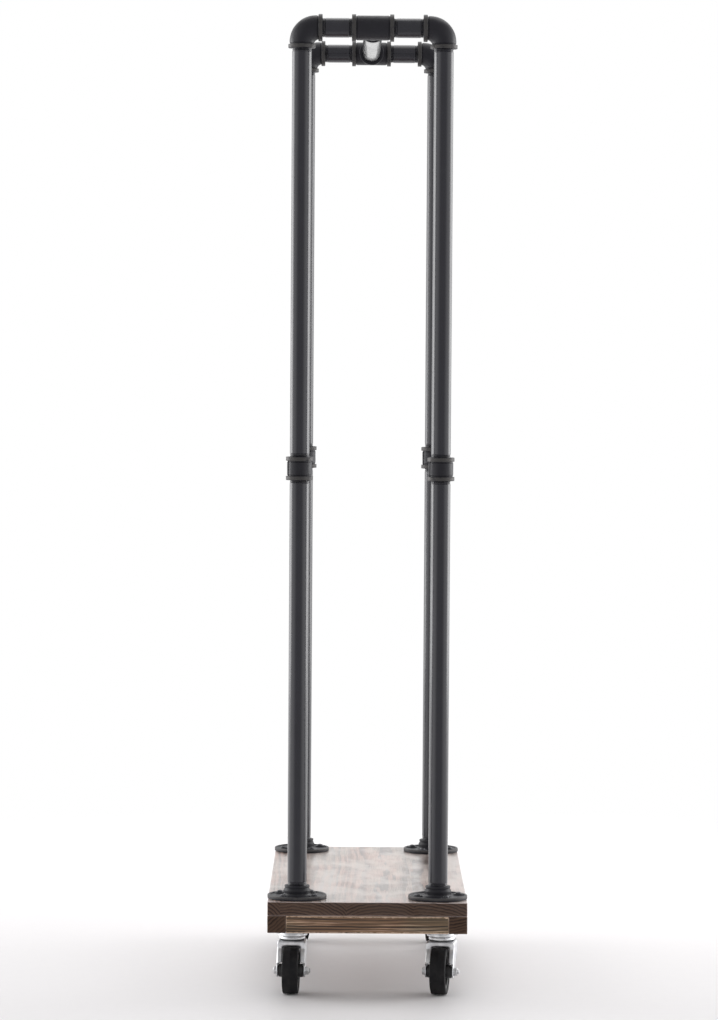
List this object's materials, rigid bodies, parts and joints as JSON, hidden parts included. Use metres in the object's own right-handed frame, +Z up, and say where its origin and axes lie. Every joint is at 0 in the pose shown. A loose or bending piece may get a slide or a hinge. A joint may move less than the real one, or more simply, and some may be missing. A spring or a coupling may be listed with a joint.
{
  "type": "rolling garment rack",
  "caption": "Rolling garment rack: two pipe end frames joined by a hanging rail, on a rustic wooden base with swivel casters.",
  "frame": {"origin": "on the floor, below the middle of the base", "axes": "+X across the rack to its right, +Y along its length to the back, +Z up"},
  "size_m": [0.3436, 0.75, 1.6762],
  "materials": {
    "pipe_black": "satin black coat on steel pipe",
    "cast_black": "black coat over a sand-cast skin",
    "rail_steel": "gloss black coat, polished by hangers along the top",
    "top_wood": "limed and torched pine under satin lacquer",
    "side_wood": "torched pine, dark brown",
    "end_wood": "torched pine, brown with pale streaks",
    "zinc_steel": "bright zinc plate",
    "screw_steel": "zinc-plated, semi-bright",
    "ball_steel": "polished, greased",
    "wheel_plastic": "moulded black plastic",
    "tyre_rubber": "black rubber with a mould line"
  },
  "bodies": {
    "root": {"top_panel": "top_wood", "side_rail_left": "side_wood", "side_rail_right": "side_wood", "end_rail_front": "end_wood", "end_rail_back": "end_wood", "frame_screws": "screw_steel", "flange_screws": "screw_steel", "caster_screws": "screw_steel", "kingpins": "zinc_steel", "bearing_balls": "ball_steel", "floor_flange_front_left": "cast_black", "floor_flange_front_right": "cast_black", "floor_flange_back_left": "cast_black", "floor_flange_back_right": "cast_black", "lower_pipe_front_left": "pipe_black", "lower_pipe_front_right": "pipe_black", "lower_pipe_back_left": "pipe_black", "lower_pipe_back_right": "pipe_black", "coupling_front_left": "cast_black", "coupling_front_right": "cast_black", "coupling_back_left": "cast_black", "coupling_back_right": "cast_black", "upper_pipe_front_left": "pipe_black", "upper_pipe_front_right": "pipe_black", "upper_pipe_back_left": "pipe_black", "upper_pipe_back_right": "pipe_black", "elbow_front_left": "cast_black", "elbow_front_right": "cast_black", "elbow_back_left": "cast_black", "elbow_back_right": "cast_black", "nipples_front": "pipe_black", "nipples_back": "pipe_black", "tee_front": "cast_black", "tee_back": "cast_black", "hanging_rail": "rail_steel", "caster_plate_front_left": "zinc_steel", "caster_plate_front_right": "zinc_steel", "caster_plate_back_left": "zinc_steel", "caster_plate_back_right": "zinc_steel"},
    "fork_front_left": {"caster_fork_front_left": "zinc_steel", "axle_bolt_front_left": "screw_steel", "axle_nut_front_left": "screw_steel"},
    "wheel_front_left": {"wheel_core_front_left": "wheel_plastic", "wheel_tyre_front_left": "tyre_rubber"},
    "fork_front_right": {"caster_fork_front_right": "zinc_steel", "axle_bolt_front_right": "screw_steel", "axle_nut_front_right": "screw_steel"},
    "wheel_front_right": {"wheel_core_front_right": "wheel_plastic", "wheel_tyre_front_right": "tyre_rubber"},
    "fork_back_left": {"caster_fork_back_left": "zinc_steel", "axle_bolt_back_left": "screw_steel", "axle_nut_back_left": "screw_steel"},
    "wheel_back_left": {"wheel_core_back_left": "wheel_plastic", "wheel_tyre_back_left": "tyre_rubber"},
    "fork_back_right": {"caster_fork_back_right": "zinc_steel", "axle_bolt_back_right": "screw_steel", "axle_nut_back_right": "screw_steel"},
    "wheel_back_right": {"wheel_core_back_right": "wheel_plastic", "wheel_tyre_back_right": "tyre_rubber"}
  },
  "joints": [
    {"name": "swivel_front_left", "type": "hinge", "parent": "root", "child": "fork_front_left", "pos_m": [-0.129, -0.303, 0.1], "axis": [0, 0, 1], "continuous": true},
    {"name": "roll_front_left", "type": "hinge", "parent": "fork_front_left", "child": "wheel_front_left", "pos_m": [-0.13057, -0.33296, 0.04], "axis": [0.9986, -0.0523, 0], "continuous": true},
    {"name": "swivel_front_right", "type": "hinge", "parent": "root", "child": "fork_front_right", "pos_m": [0.129, -0.303, 0.1], "axis": [0, 0, 1], "continuous": true},
    {"name": "roll_front_right", "type": "hinge", "parent": "fork_front_right", "child": "wheel_front_right", "pos_m": [0.12483, -0.33271, 0.04], "axis": [0.9903, -0.1392, 0], "continuous": true},
    {"name": "swivel_back_left", "type": "hinge", "parent": "root", "child": "fork_back_left", "pos_m": [-0.129, 0.303, 0.1], "axis": [0, 0, 1], "continuous": true},
    {"name": "roll_back_left", "type": "hinge", "parent": "fork_back_left", "child": "wheel_back_left", "pos_m": [-0.12379, 0.27346, 0.04], "axis": [0.9848, 0.1736, 0], "continuous": true},
    {"name": "swivel_back_right", "type": "hinge", "parent": "root", "child": "fork_back_right", "pos_m": [0.129, 0.303, 0.1], "axis": [0, 0, 1], "continuous": true},
    {"name": "roll_back_right", "type": "hinge", "parent": "fork_back_right", "child": "wheel_back_right", "pos_m": [0.12638, 0.27311, 0.04], "axis": [0.9962, -0.0872, 0], "continuous": true}
  ]
}
